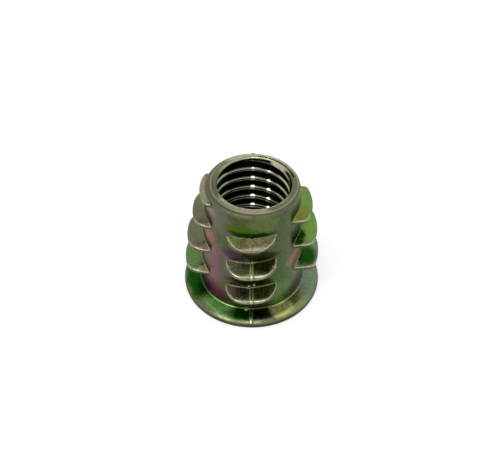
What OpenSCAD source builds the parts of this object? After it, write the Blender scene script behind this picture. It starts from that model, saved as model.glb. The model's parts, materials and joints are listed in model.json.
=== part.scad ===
// Screw-in threaded insert: a one-piece zinc casting with a flange, a tapered body that carries
// staggered knife-edged fins for wood, a hexagon drive socket in the flange and a threaded bore.
// The flange's outer face lies on z = 0, and the axis is +Z, towards the tip. Sizes are in millimetres.

/* [Overall] */
// Length from the flange's outer face to the tip
insert_length = 13.2; // [11:0.1:25]

/* [Flange] */
// Diameter of the flange
flange_d = 13.84; // [13.6:0.02:18]
// Height of the flange at its outer edge
flange_edge_h = 0.55; // [0.45:0.05:1.5]
// Rise of the flange's crowned upper face from its edge to the body
flange_crown = 0.45; // [0.1:0.05:1]
// Rounding of the flange's two outer edges
flange_edge_r = 0.15; // [0.05:0.01:0.2]

/* [Body] */
// Diameter of the body where it leaves the flange
root_d = 10.5; // [10.2:0.05:12]
// Diameter of the body at the tip, before its edge is rounded
tip_d = 9.1; // [8.6:0.05:9.8]
// Rounding of the tip's outer edge
tip_edge_r = 0.4; // [0.1:0.05:0.45]

/* [Threaded bore] */
// Clear diameter inside the crests of the internal thread
bore_d = 7; // [5:0.05:7.2]

/* [Drive socket] */
// Width of the hexagon across its flats, wide enough for the bolt to pass
hex_af = 8.1; // [7.4:0.05:8.3]
// Depth of the hexagon from the flange's outer face
hex_depth = 4.6; // [2:0.1:6]
// Rounding of the hexagon's corners
hex_corner_r = 0.4; // [0.2:0.05:1]
// Slope of the cone from the socket's floor into the bore
socket_cone_angle = 30; // [10:1:45]

/* [Fins] */
// Distance between the fins of one column
fin_pitch = 3.15; // [2.6:0.05:6]
// Underside of the lowest fin on the left
left_start = 3.4; // [1.8:0.05:6]
// Underside of the lowest fin at the front
front_start = 3.35; // [1.8:0.05:6]
// Underside of the lowest fin on the right
right_start = 4.3; // [1.8:0.05:6]
// Underside of the lowest fin at the back
back_start = 5; // [1.8:0.05:6]
// Width of a fin on the left or right
side_fin_w = 5.2; // [4:0.05:6]
// Slope of the two ends of a fin on the left or right
side_end_slope = 28; // [15:1:60]
// Slope of the upper face of a fin on the left or right
side_slope = 15; // [5:1:25]
// Rounding of the corners of a fin on the left or right, seen from above
side_corner_r = 0.7; // [0.2:0.05:1.2]
// Turn of the left and right columns towards the front
side_turn = 3; // [0:0.5:10]
// Width of a fin at the front or back, on the casting's parting line
parting_fin_w = 5.1; // [4:0.05:6]
// Rounding of the corners of a fin on the parting line, seen from above
parting_corner_r = 1.3; // [0.2:0.05:1.5]
// Slope of the upper face of the lowest fin on the parting line
parting_slope = 14; // [5:1:16]
// How much steeper each fin on the parting line is than the one below it
parting_slope_step = 7.5; // [0:0.5:8]
// Slope of the two ends of a fin on the parting line
parting_end_slope = 80; // [60:1:85]
// Tilt of a fin on the parting line, rising like a right-hand thread
parting_fin_tilt = 4; // [0:0.5:6]
// Width of the leading fin, on the left beside the tip
lead_fin_w = 4.3; // [3:0.05:5]
// Height of the rim left clear above the leading fin
lead_gap = 0.3; // [0.1:0.05:1]
// Clear height between the other fins and the tip
tip_clear = 1.5; // [1.2:0.05:4]
// Diameter over the lowest fin of each column
crest_d = 13.45; // [12.6:0.05:18]
// Diameter over the leading fin
lead_d = 10.26; // [9.8:0.02:12]
// How late the fins draw in towards the leading fin, with 1 for a straight cone
lead_curve = 1.7; // [1:0.1:4]
// Thickness of a fin at its cutting edge
fin_land = 0.3; // [0.1:0.05:0.5]

/* [Hidden] */
$fn = 96;
arc_steps = 6;
cut = 1;
flange_top = flange_edge_h + flange_crown;
crown_run = (flange_d - root_d) / 2;
crown_r = (pow(crown_run, 2) + pow(flange_crown, 2)) / (2 * flange_crown);
taper_angle = atan2((root_d - tip_d) / 2, insert_length - flange_top);
core_r = tip_d / 2 - tip_edge_r;
lead_z = insert_length - lead_gap - fin_height(lead_d / 2, side_slope);

// Height of a fin from its underside to where its upper face has run into the body
function fin_height(reach, slope) = fin_land + (reach - core_r) * tan(slope);

// Radius of a fin that stands this far above the lowest one: the fins draw in towards the leading fin
function fin_reach(rise) = crest_d / 2 - (crest_d - lead_d) / 2 * pow(rise / (lead_z - left_start), lead_curve);

// Points along an arc, with its two end angles
function arc(centre, r, from, to) =
    [for (i = [0 : arc_steps]) let (a = from + (to - from) * i / arc_steps) centre + r * [cos(a), sin(a)]];

// Half section of the flange and the tapered body
module body_section() {
    edge_x = flange_d / 2 - flange_edge_r;
    crown_centre = [root_d / 2, flange_top - crown_r];
    crown_angle = acos((edge_x - root_d / 2) / (crown_r - flange_edge_r));
    upper_z = crown_centre.y + (crown_r - flange_edge_r) * sin(crown_angle);
    tip_x = tip_d / 2 + tip_edge_r * tan(taper_angle) - tip_edge_r / cos(taper_angle);
    tip_z = insert_length - tip_edge_r;
    polygon(concat(
        [[0, 0]],
        arc([edge_x, flange_edge_r], flange_edge_r, -90, 0),
        arc([edge_x, upper_z], flange_edge_r, 0, crown_angle),
        arc(crown_centre, crown_r, crown_angle, 90),
        arc([tip_x, tip_z], tip_edge_r, taper_angle, 90),
        [[0, insert_length]]
    ));
}

// A fin on the +X side seen from above: a round cutting edge between two straight ends, with rounded corners
module fin_outline(reach, width, corner_r) {
    corner_y = width / 2 - corner_r;
    corner_x = sqrt(pow(reach - corner_r, 2) - pow(corner_y, 2));
    intersection() {
        circle(r = reach);
        union() {
            translate([0, -width / 2]) square([corner_x, width]);
            polygon([[0, 0], 2 * [corner_x, -corner_y], 2 * [corner_x, corner_y]]);
            for (side = [-1, 1]) translate([corner_x, side * corner_y]) circle(r = corner_r);
        }
    }
}

// A fin seen from outside: flat underside, thin at both ends and sloping up from them
module fin_front(height, width, end_slope) {
    end_run = (height - fin_land) / tan(end_slope);
    polygon([
        [-width / 2, 0],
        [width / 2, 0],
        [width / 2, fin_land],
        [width / 2 - end_run, height],
        [end_run - width / 2, height],
        [-width / 2, fin_land]
    ]);
}

// One fin on the +X side, with its upper face sloping from the cutting edge up to the body
module fin(reach, width, corner_r, slope, end_slope) {
    height = fin_height(reach, slope);
    intersection() {
        linear_extrude(height) fin_outline(reach, width, corner_r);
        rotate([90, 0, 90]) linear_extrude(reach) fin_front(height, width, end_slope);
        union() {
            cylinder(r = reach, h = fin_land);
            translate([0, 0, fin_land]) cylinder(r1 = reach, r2 = core_r, h = height - fin_land);
        }
    }
}

// One fin on the left or right, of this radius and width
module side_fin(reach, width) {
    fin(reach, width, side_corner_r, side_slope, side_end_slope);
}

// A column of fins on the left or right
module side_column(direction, start) {
    for (z = [start : fin_pitch : insert_length - tip_clear])
        rotate(direction) translate([0, 0, z]) side_fin(fin_reach(z - start), side_fin_w);
}

// A column of fins on the parting line, each steeper than the one below it
module parting_column(direction, start) {
    for (z = [start : fin_pitch : insert_length - tip_clear]) {
        slope = parting_slope + parting_slope_step * (z - start) / fin_pitch;
        rotate(direction) translate([0, 0, z]) rotate([parting_fin_tilt, 0, 0])
            fin(fin_reach(z - start), parting_fin_w, parting_corner_r, slope, parting_end_slope);
    }
}

// The four columns of fins, and the leading fin
module fins() {
    side_column(180 + side_turn, left_start);
    side_column(-side_turn, right_start);
    parting_column(270, front_start);
    parting_column(90, back_start);
    rotate(180 + side_turn) translate([0, 0, lead_z]) side_fin(lead_d / 2, lead_fin_w);
}

// Hexagon with rounded corners
module hex_outline() {
    inner_af = hex_af - 2 * hex_corner_r;
    inner_side = inner_af * tan(30);
    circle(d = inner_af / cos(30), $fn = 6);
    for (a = [0, 60, 120]) rotate(a) square([inner_side, hex_af], center = true);
    for (a = [0 : 60 : 300]) rotate(a) translate([inner_side, 0]) circle(r = hex_corner_r);
}

// Hexagon socket in the flange, with the cone that guides a bolt from it into the bore
module drive_socket() {
    cone_h = (hex_af - bore_d) / 2 * tan(socket_cone_angle);
    translate([0, 0, -cut]) linear_extrude(hex_depth + cut) hex_outline();
    translate([0, 0, hex_depth]) cylinder(d1 = hex_af, d2 = bore_d, h = cone_h);
}

// The whole casting
module insert() {
    color("darkseagreen") difference() {
        union() {
            rotate_extrude() body_section();
            fins();
        }
        translate([0, 0, -cut]) cylinder(d = bore_d, h = insert_length + 2 * cut);
        drive_socket();
    }
}

insert();
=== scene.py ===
"""Dresses the threaded insert: one zinc casting with knife-edged fins, a cut thread and a chromate skin with
painted shade and highlights.

The casting is modelled in millimetres, cut, blended and softened, then brought to metres in the part's frame.
"""

import json
import logging
import math
from dataclasses import dataclass
from enum import Enum
from functools import partial, reduce
from typing import Any

import bpy
import numpy as np
from mathutils import Matrix, Vector


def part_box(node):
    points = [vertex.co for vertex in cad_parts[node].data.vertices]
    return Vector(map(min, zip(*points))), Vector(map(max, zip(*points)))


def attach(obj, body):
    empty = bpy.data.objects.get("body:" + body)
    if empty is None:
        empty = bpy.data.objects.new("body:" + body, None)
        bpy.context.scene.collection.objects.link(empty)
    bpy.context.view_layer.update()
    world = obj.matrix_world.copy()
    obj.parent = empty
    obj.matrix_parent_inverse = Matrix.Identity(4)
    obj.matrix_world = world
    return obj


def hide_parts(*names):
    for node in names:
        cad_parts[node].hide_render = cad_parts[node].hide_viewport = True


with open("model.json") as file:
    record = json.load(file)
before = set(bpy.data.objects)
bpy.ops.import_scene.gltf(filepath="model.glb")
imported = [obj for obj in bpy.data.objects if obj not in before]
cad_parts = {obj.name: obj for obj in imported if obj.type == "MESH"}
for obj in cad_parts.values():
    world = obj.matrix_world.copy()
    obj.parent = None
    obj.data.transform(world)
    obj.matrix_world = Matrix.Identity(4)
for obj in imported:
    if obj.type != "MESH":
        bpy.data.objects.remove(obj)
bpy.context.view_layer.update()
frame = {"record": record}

LOG = logging.getLogger("threaded_insert")
NODE = "insert"
BODY = "root"
THREAD_MOUNT = "internal_thread"
MM = 0.001
MERGE_DISTANCE = 0.0005
EDGE_MARK = "stand_out_mm"
ROUND_STEPS = 192
ARC_STEPS = 6
NOISE_MIDDLE = 0.5
WHITE = (1.0, 1.0, 1.0, 1.0)

# A cut that went wrong is made again: how often, and the least share of a solid that a good cut takes off
CUT_TRIES = 6
LEAST_CUT = 0.00001

# The colour mixer's sockets by place, because its sockets for numbers and vectors have the same names
MIX_INPUTS = (0, 6, 7)
MIX_OUTPUT = 2

Point = tuple[float, float]
Span = tuple[float, float]
Colour = tuple[float, float, float]
Socket = bpy.types.NodeSocket


class Side(Enum):
    """The two sides of the casting that its parting line runs along, by their direction along Y."""

    FRONT = -1
    BACK = 1

    @property
    def word(self) -> str:
        """The side's name in small letters."""
        return self.name.lower()


class Cut(Enum):
    """How one solid acts on another, by the name of the boolean operation."""

    REMOVE = "DIFFERENCE"
    KEEP_COMMON = "INTERSECT"


class Facing(Enum):
    """Which surfaces a patch of the finish covers."""

    ANY = "any"
    WALL = "wall"
    UP = "up"


class Tint(Enum):
    """Colours of the chromate film and of the painted light and shade laid into it, in linear light."""

    SAGE = (0.064, 0.091, 0.036)
    MOSS = (0.065, 0.076, 0.022)
    OLIVE = (0.09, 0.116, 0.038)
    SEA_GREEN = (0.052, 0.096, 0.027)
    LEAF = (0.048, 0.09, 0.004)
    FERN = (0.086, 0.161, 0.047)
    DEEP_GREEN = (0.005, 0.028, 0.0005)
    ASH = (0.1, 0.094, 0.066)
    PINK = (0.149, 0.069, 0.079)
    MAUVE = (0.099, 0.081, 0.062)
    ROSE = (0.3, 0.19, 0.145)
    PLUM = (0.06, 0.025, 0.038)
    MAROON = (0.117, 0.02, 0.052)
    RUST = (0.15, 0.055, 0.045)
    GOLD = (0.105, 0.094, 0.04)
    HAY = (0.078, 0.095, 0.024)
    STRAW = (0.16, 0.195, 0.04)
    TAUPE = (0.11, 0.088, 0.06)
    KHAKI = (0.25, 0.25, 0.14)
    BRIGHT_GREEN = (0.13, 0.26, 0.05)
    PEWTER = (0.18, 0.18, 0.11)
    BOTTLE = (0.006, 0.062, 0.002)
    EMERALD = (0.08, 0.22, 0.04)
    JADE = (0.2, 0.5, 0.11)
    FOREST = (0.012, 0.09, 0.001)
    BRASS = (0.5, 0.55, 0.17)
    OCHRE = (0.2, 0.23, 0.085)
    UMBER = (0.024, 0.027, 0.002)
    BRONZE = (0.11, 0.15, 0.025)
    DRAB = (0.05, 0.052, 0.022)
    STEEL = (0.14, 0.19, 0.125)
    BRIGHT_SILVER = (0.4, 0.39, 0.29)
    CREAM = (0.42, 0.4, 0.27)
    BLUSH = (0.45, 0.4, 0.28)
    PALE_SAGE = (0.3, 0.31, 0.22)
    FLANK = (0.42, 0.48, 0.25)
    FILLET = (0.32, 0.33, 0.18)
    LAND = (0.15, 0.135, 0.095)
    ROSEWOOD = (0.3, 0.16, 0.13)
    CHESTNUT = (0.2, 0.15, 0.11)
    GLINT = (0.95, 0.95, 0.8)
    SHADE = (0.12, 0.125, 0.075)
    EDGE = (0.05, 0.055, 0.03)
    BLACK = (0.0015, 0.0015, 0.001)
    INK = (0.01, 0.012, 0.004)

    @property
    def rgba(self) -> tuple[float, float, float, float]:
        """The colour as a colour socket takes it."""
        return (*self.value, 1.0)


def select_only(piece: bpy.types.Object) -> None:
    """Makes one object the active object and the only selected one.

    Args:
        piece: The object to work on next.
    """
    bpy.ops.object.select_all(action="DESELECT")
    piece.select_set(True)
    bpy.context.view_layer.objects.active = piece


def apply_modifier(piece: bpy.types.Object, kind: str, **settings: Any) -> None:
    """Adds one modifier, sets it and applies it.

    Args:
        piece: The object that is changed.
        kind: The modifier's type.
        settings: The modifier's values by name.
    """
    select_only(piece)
    modifier = piece.modifiers.new(kind.lower(), kind)
    for name, value in settings.items():
        setattr(modifier, name, value)
    bpy.ops.object.modifier_apply(modifier=modifier.name)


def extent(piece: bpy.types.Object) -> tuple[np.ndarray, np.ndarray, float]:
    """Measures a solid.

    Args:
        piece: The closed solid.

    Returns:
        Its lowest corner, its highest corner and its volume, all zero where nothing is left.
    """
    mesh = piece.data
    mesh.calc_loop_triangles()
    if not mesh.loop_triangles:
        return np.zeros(3), np.zeros(3), 0.0
    places = np.empty(len(mesh.vertices) * 3)
    mesh.vertices.foreach_get("co", places)
    places = places.reshape(-1, 3)
    corners = np.empty(len(mesh.loop_triangles) * 3, dtype=np.int32)
    mesh.loop_triangles.foreach_get("vertices", corners)
    first, second, third = places[corners.reshape(-1, 3)].transpose(1, 0, 2)
    volume = float((first * np.cross(second, third)).sum() / 6)
    return places.min(axis=0), places.max(axis=0), volume


def work(piece: bpy.types.Object, cutter: bpy.types.Object, cut: Cut) -> None:
    """Cuts one solid with another, and removes the cutter.

    Args:
        piece: The solid that is cut.
        cutter: The solid that cuts it.
        cut: What is kept.
    """
    uncut = piece.data.copy()
    low, high, volume = extent(piece)
    for _ in range(CUT_TRIES):
        apply_modifier(piece, "BOOLEAN", object=cutter, operation=cut.value, solver="EXACT")
        cut_low, cut_high, cut_volume = extent(piece)
        inside = (cut_low > low - MERGE_DISTANCE).all() and (cut_high < high + MERGE_DISTANCE).all()
        if inside and 0 < cut_volume < volume * (1 - LEAST_CUT):
            break
        LOG.warning("%s: the cut by %s went wrong and is made again", piece.name, cutter.name)
        piece.data = uncut.copy()
    bpy.data.objects.remove(cutter)


def slice_off(piece: bpy.types.Object, point: Vector, normal: Vector) -> None:
    """Cuts a solid with a plane, drops what the normal points to and closes the cut.

    Args:
        piece: The solid that is cut.
        point: A point on the plane.
        normal: The plane's normal, towards the part that is dropped.
    """
    select_only(piece)
    bpy.ops.object.mode_set(mode="EDIT")
    bpy.ops.mesh.select_all(action="SELECT")
    bpy.ops.mesh.bisect(plane_co=point, plane_no=normal, use_fill=True, clear_outer=True)
    bpy.ops.object.mode_set(mode="OBJECT")


def place(piece: bpy.types.Object, matrix: Matrix) -> None:
    """Moves a solid and writes its place into its mesh.

    Args:
        piece: The solid, which stays at the origin as an object.
        matrix: Where it goes.
    """
    select_only(piece)
    piece.matrix_world = matrix
    bpy.ops.object.transform_apply(location=True, rotation=True, scale=True)


def copied(piece: bpy.types.Object, name: str) -> bpy.types.Object:
    """Copies a solid with a mesh of its own.

    Args:
        piece: The solid to copy.
        name: The copy's name.

    Returns:
        The copy.
    """
    select_only(piece)
    bpy.ops.object.duplicate()
    twin = bpy.context.active_object
    twin.name = name
    return twin


def joined(pieces: list[bpy.types.Object], name: str) -> bpy.types.Object:
    """Joins several solids into one object.

    Args:
        pieces: The solids, of which the first one takes in the others.
        name: The joined object's name.

    Returns:
        The joined object.
    """
    select_only(pieces[0])
    for piece in pieces:
        piece.select_set(True)
    bpy.ops.object.join()
    pieces[0].name = name
    return pieces[0]


def arc(centre: Point, radius: float, start: float, end: float) -> list[Point]:
    """Points along an arc.

    Args:
        centre: The arc's centre.
        radius: The arc's radius.
        start: Its first angle, in degrees.
        end: Its last angle, in degrees.

    Returns:
        The points, with both ends.
    """
    angles = [math.radians(start + (end - start) * i / ARC_STEPS) for i in range(ARC_STEPS + 1)]
    return [(centre[0] + radius * math.cos(a), centre[1] + radius * math.sin(a)) for a in angles]


def fillet(before: Point, corner: Point, after: Point, start_reach: float, end_reach: float) -> list[Point]:
    """Points of a soft curve that takes the place of a corner.

    Args:
        before: A point on the line that comes to the corner.
        corner: The corner.
        after: A point on the line that leaves the corner.
        start_reach: How far from the corner the curve starts.
        end_reach: How far from the corner the curve ends.

    Returns:
        The points, with both ends.
    """
    middle = Vector(corner)
    start = middle + (Vector(before) - middle).normalized() * start_reach
    end = middle + (Vector(after) - middle).normalized() * end_reach
    shares = [i / ARC_STEPS for i in range(ARC_STEPS + 1)]
    return [tuple(start.lerp(middle, t).lerp(middle.lerp(end, t), t)) for t in shares]


def turned(name: str, section: list[Point]) -> bpy.types.Object:
    """Turns a closed half section about the axis, by extruding a ring from each point to the next.

    Args:
        name: The object's name.
        section: The section's points as (radius, height).

    Returns:
        The closed solid of revolution.
    """
    bpy.ops.object.select_all(action="DESELECT")
    radius, height = section[0]
    bpy.ops.mesh.primitive_circle_add(vertices=ROUND_STEPS, radius=radius)
    piece = bpy.context.active_object
    piece.name = name
    place(piece, Matrix.Translation((0, 0, height)))
    bpy.ops.object.mode_set(mode="EDIT")
    bpy.ops.mesh.select_all(action="SELECT")
    for next_radius, next_height in section[1:] + section[:1]:
        rise = (0, 0, next_height - height)
        bpy.ops.mesh.extrude_region_move(TRANSFORM_OT_translate={"value": rise})
        growth = next_radius / radius
        bpy.ops.transform.resize(value=(growth, growth, 1), center_override=(0, 0, 0))
        radius, height = next_radius, next_height
    bpy.ops.mesh.select_all(action="SELECT")
    bpy.ops.mesh.remove_doubles(threshold=MERGE_DISTANCE)
    bpy.ops.mesh.normals_make_consistent(inside=False)
    bpy.ops.object.mode_set(mode="OBJECT")
    return piece


def drawn(name: str, outline: list[Point], height: float) -> bpy.types.Object:
    """Draws a closed outline from point to point, fills it and raises it into a block.

    Args:
        name: The object's name.
        outline: The outline's points as (x, y).
        height: The block's height above z = 0.

    Returns:
        The closed block.
    """
    bpy.ops.object.select_all(action="DESELECT")
    bpy.ops.mesh.primitive_plane_add(size=1)
    piece = bpy.context.active_object
    piece.name = name
    bpy.ops.object.mode_set(mode="EDIT")
    bpy.ops.mesh.select_all(action="SELECT")
    bpy.ops.mesh.merge(type="CENTER")
    x, y = outline[0]
    bpy.ops.transform.translate(value=(x, y, 0))
    for next_x, next_y in outline[1:]:
        bpy.ops.mesh.extrude_region_move(TRANSFORM_OT_translate={"value": (next_x - x, next_y - y, 0)})
        x, y = next_x, next_y
    bpy.ops.mesh.select_all(action="SELECT")
    bpy.ops.mesh.edge_face_add()
    bpy.ops.mesh.extrude_region_move(TRANSFORM_OT_translate={"value": (0, 0, height)})
    bpy.ops.mesh.select_all(action="SELECT")
    bpy.ops.mesh.normals_make_consistent(inside=False)
    bpy.ops.object.mode_set(mode="OBJECT")
    return piece


def cap(piece: bpy.types.Object, height: float) -> None:
    """Closes the open ring of edges that lies at one height.

    Args:
        piece: The shell with the open ring.
        height: The ring's height.
    """
    select_only(piece)
    bpy.ops.object.mode_set(mode="EDIT")
    bpy.ops.mesh.select_mode(type="VERT")
    bpy.ops.mesh.select_all(action="DESELECT")
    bpy.ops.object.mode_set(mode="OBJECT")
    for vertex in piece.data.vertices:
        vertex.select = abs(vertex.co.z - height) < MERGE_DISTANCE
    bpy.ops.object.mode_set(mode="EDIT")
    bpy.ops.mesh.edge_face_add()
    bpy.ops.mesh.select_all(action="SELECT")
    bpy.ops.mesh.normals_make_consistent(inside=False)
    bpy.ops.object.mode_set(mode="OBJECT")


@dataclass
class Barrel:
    """The flange and the tapered body, with a pilot hole where the thread is cut. Sizes in millimetres."""

    length: float
    flange_d: float
    flange_top: float = 1.0
    flange_slope: float = 12.0
    flange_roll_r: float = 1.4
    flange_roll_to: float = 45.0
    flange_edge_r: float = 0.15
    root_d: float = 10.5
    root_blend: float = 0.12
    tip_d: float = 9.1
    tip_edge_r: float = 0.4
    pilot_d: float = 6.0

    @property
    def core_r(self) -> float:
        """Radius that lies inside the body all the way up."""
        return self.tip_d / 2 - self.tip_edge_r

    def section(self) -> list[Point]:
        """The closed half section, from the pilot hole round the outside to the rim."""
        edge_x = self.flange_d / 2 - self.flange_edge_r
        slope, roll_to = math.radians(self.flange_slope), math.radians(self.flange_roll_to)
        roll_x = edge_x - (self.flange_roll_r - self.flange_edge_r) * math.sin(roll_to)
        run = roll_x + self.flange_roll_r * math.sin(slope) - self.root_d / 2
        roll_z = self.flange_top - run * math.tan(slope) - self.flange_roll_r * math.cos(slope)
        upper_z = roll_z + (self.flange_roll_r - self.flange_edge_r) * math.cos(roll_to)
        taper = math.atan2((self.root_d - self.tip_d) / 2, self.length - self.flange_top)
        tip_x = self.tip_d / 2 + self.tip_edge_r * (math.tan(taper) - 1 / math.cos(taper))
        lower = arc((edge_x, self.flange_edge_r), self.flange_edge_r, -90, 0)
        upper = arc((edge_x, upper_z), self.flange_edge_r, 0, 90 - self.flange_roll_to)
        roll = arc((roll_x, roll_z), self.flange_roll_r, 90 - self.flange_roll_to, 90 - self.flange_slope)[1:]
        tip = arc((tip_x, self.length - self.tip_edge_r), self.tip_edge_r, math.degrees(taper), 90)
        corner = (self.root_d / 2, self.flange_top)
        root = fillet(roll[-1], corner, tip[0], self.root_blend, self.root_blend)
        hole = [(self.pilot_d / 2, self.length), (self.pilot_d / 2, 0)]
        return lower + upper + roll + root + tip + hole

    def build(self) -> bpy.types.Object:
        """Turns the section into the flanged body."""
        return turned("barrel", self.section())


@dataclass
class Fin:
    """One knife-edged fin on the +X side, standing on z = 0. Sizes in millimetres, angles in degrees."""

    reach: float
    width: float
    core_r: float
    end_slope: float
    land: float = 0.3
    slope: float = 15.0
    corner_r: float = 0.7
    flare: float = 0.0
    brow: float = 0.24
    brow_run: float = 0.24
    heel: float = 0.05

    @property
    def height(self) -> float:
        """Height at which the upper face has run into the body."""
        return self.land + (self.reach - self.core_r) * math.tan(math.radians(self.slope))

    def ring_section(self) -> list[Point]:
        """Half section through the fin's crest, with a round brow above and a tighter heel below."""
        inner_low, inner_high = (self.core_r, 0.0), (self.core_r, self.height)
        crest_low, crest_high = (self.reach, 0.0), (self.reach, self.land)
        heel = fillet(inner_low, crest_low, crest_high, self.heel, self.heel)
        brow = fillet(crest_low, crest_high, inner_high, self.brow, self.brow_run)
        return [inner_low] + heel + brow + [inner_high]

    def outline(self) -> list[Point]:
        """The fin from above: straight ends with round corners that run into the crest."""
        corner_y = self.width / 2 - self.corner_r
        corner_x = math.sqrt((self.reach - self.corner_r) ** 2 - corner_y**2)
        turn = math.degrees(math.atan2(corner_y, corner_x))
        corner = arc((corner_x, -corner_y), self.corner_r, self.flare - 90, -turn)
        root_y = corner[0][1] - corner[0][0] * math.tan(math.radians(self.flare))
        right = [(0.0, root_y)] + corner
        right.append((2 * corner_x, -2 * corner_y))
        return right + [(x, -y) for x, y in reversed(right)]

    def build(self, name: str) -> bpy.types.Object:
        """Turns the crest, trims it to the outline and slopes its two ends.

        Args:
            name: The fin's name.

        Returns:
            The fin as a closed solid.
        """
        fin = turned(name, self.ring_section())
        work(fin, drawn("fin_outline", self.outline(), self.height), Cut.KEEP_COMMON)
        lean, flare = math.radians(self.end_slope), math.radians(self.flare)
        edge_x, edge_y = self.outline()[1]
        for end in (-1, 1):
            edge = Vector((edge_x, -end * edge_y, self.land))
            outwards = Vector((math.sin(flare), end * math.cos(flare), 0)) * math.sin(lean)
            slice_off(fin, edge, outwards + Vector((0, 0, math.cos(lean))))
        return fin


@dataclass
class Column:
    """A column of like fins, one above the other. Sizes in millimetres, angles in degrees."""

    name: str
    angle: float
    start: float
    width: float
    end_slope: float
    corner_r: float = 0.7
    flare: float = 0.0
    brow_run: float = 0.24
    slope: float = 15.0
    steeper: float = 0.0
    narrower: float = 0.0
    tilt: float = 0.0

    def fin(self, row: int, reach: float, core_r: float) -> Fin:
        """Sizes one of the column's fins.

        Args:
            row: Its row, counted from the flange.
            reach: Radius over its crest.
            core_r: Radius inside the body that it reaches in to.

        Returns:
            The fin on the +X side.
        """
        return Fin(
            reach=reach,
            width=self.width - row * self.narrower,
            core_r=core_r,
            end_slope=self.end_slope,
            slope=self.slope + row * self.steeper,
            corner_r=self.corner_r,
            flare=self.flare,
            brow_run=self.brow_run,
        )


def parting_column(side: Side, angle: float, start: float) -> Column:
    """Sizes a column on the parting line, whose fins are rounder and steeper than the others.

    Args:
        side: The side of the casting that it is on.
        angle: The direction it faces, in degrees.
        start: Height of its lowest fin's underside.

    Returns:
        The column.
    """
    return Column(
        side.word, angle, start, width=5.1, end_slope=80, corner_r=2.1, brow_run=0.45,
        slope=14, steeper=7.5, narrower=0.1, tilt=4,
    )


@dataclass
class FinSet:
    """The four columns of fins and the leading fin beside the tip. Sizes in millimetres."""

    barrel: Barrel
    pitch: float = 3.15
    rows: int = 3
    crest_d: float = 13.45
    lead_d: float = 10.26
    lead_width: float = 4.5
    lead_gap: float = 0.3
    lead_curve: float = 1.7
    columns: tuple[Column, ...] = (
        Column("left", 183, 3.4, width=5.0, end_slope=28, corner_r=1.5, flare=12),
        parting_column(Side.FRONT, 270, 3.35),
        Column("right", -3, 4.3, width=5.0, end_slope=28, flare=10),
        parting_column(Side.BACK, 90, 5.0),
    )

    @property
    def lead_fin(self) -> Fin:
        """The small fin that enters the wood first."""
        beside = self.columns[0]
        return Fin(self.lead_d / 2, self.lead_width, self.barrel.core_r, beside.end_slope, flare=beside.flare)

    @property
    def lead_z(self) -> float:
        """Height of the leading fin's underside."""
        return self.barrel.length - self.lead_gap - self.lead_fin.height

    def reach(self, rise: float) -> float:
        """Radius of a fin, which draws in towards the leading fin.

        Args:
            rise: How far the fin stands above the lowest one of its column.

        Returns:
            The radius over the fin's crest.
        """
        share = rise / (self.lead_z - self.columns[0].start)
        return self.crest_d / 2 - (self.crest_d - self.lead_d) / 2 * share**self.lead_curve

    def build(self) -> dict[str, bpy.types.Object]:
        """Builds every fin in its place.

        Returns:
            The fins by name, each a closed solid that reaches into the body.
        """
        fins = {}
        for column in self.columns:
            for row in range(self.rows):
                rise = row * self.pitch
                fin = column.fin(row, self.reach(rise), self.barrel.core_r)
                name = f"fin_{column.name}_{row}"
                fins[name] = self.stand(fin.build(name), column.angle, column.start + rise, column.tilt)
        lead = self.lead_fin.build("fin_lead")
        fins[lead.name] = self.stand(lead, self.columns[0].angle, self.lead_z, self.columns[0].tilt)
        return fins

    def seamed(self) -> list[str]:
        """Names the fins that the parting line runs over: all but the uppermost at the front and back."""
        return [f"fin_{side.word}_{row}" for side in Side for row in range(self.rows - 1)]

    def stand(self, fin: bpy.types.Object, angle: float, height: float, tilt: float) -> bpy.types.Object:
        """Turns a fin to its side of the body and lifts it to its height.

        Args:
            fin: The fin on the +X side.
            angle: The direction it faces, in degrees.
            height: Height of its underside.
            tilt: How far it leans along the body, in degrees.

        Returns:
            The fin in its place.
        """
        turn = Matrix.Rotation(math.radians(angle), 4, "Z")
        lean = Matrix.Rotation(math.radians(tilt), 4, "X")
        place(fin, turn @ Matrix.Translation((0, 0, height)) @ lean)
        return fin


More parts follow.
